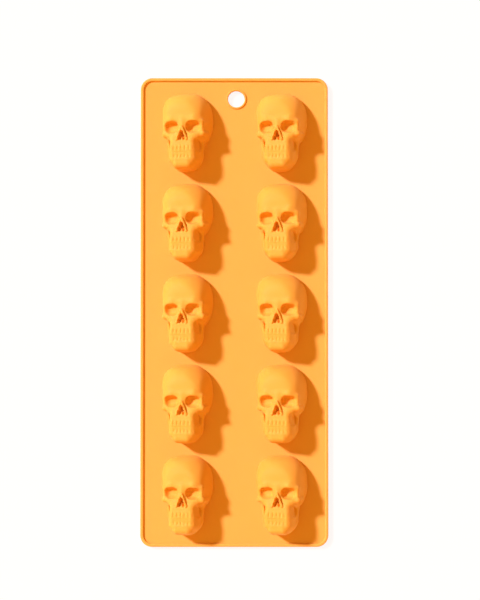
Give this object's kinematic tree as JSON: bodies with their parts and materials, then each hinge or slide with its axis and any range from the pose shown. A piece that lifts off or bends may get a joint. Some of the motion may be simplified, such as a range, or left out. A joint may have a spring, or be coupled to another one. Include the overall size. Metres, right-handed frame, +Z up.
{
  "type": "skull chocolate mould",
  "caption": "Flat silicone chocolate mould with rows of small skull-shaped cups, a raised rim all round and a hanging hole at one end.",
  "frame": {"origin": "middle of the underside, which is the filling side, on the surface that the mould lies on", "axes": "+Z up, out of the skull faces; +Y along the length, towards the hanging hole and up the faces; +X to the viewer's right"},
  "size_m": [0.112, 0.28, 0.0189],
  "materials": {
    "silicone": "matte, slightly translucent food silicone"
  },
  "bodies": {
    "root": {"base_sheet": "silicone", "rim_bead": "silicone", "hang_hole_lip": "silicone", "skull_cup_row1_column1": "silicone", "skull_cup_row1_column2": "silicone", "skull_cup_row2_column1": "silicone", "skull_cup_row2_column2": "silicone", "skull_cup_row3_column1": "silicone", "skull_cup_row3_column2": "silicone", "skull_cup_row4_column1": "silicone", "skull_cup_row4_column2": "silicone", "skull_cup_row5_column1": "silicone", "skull_cup_row5_column2": "silicone"}
  },
  "joints": []
}
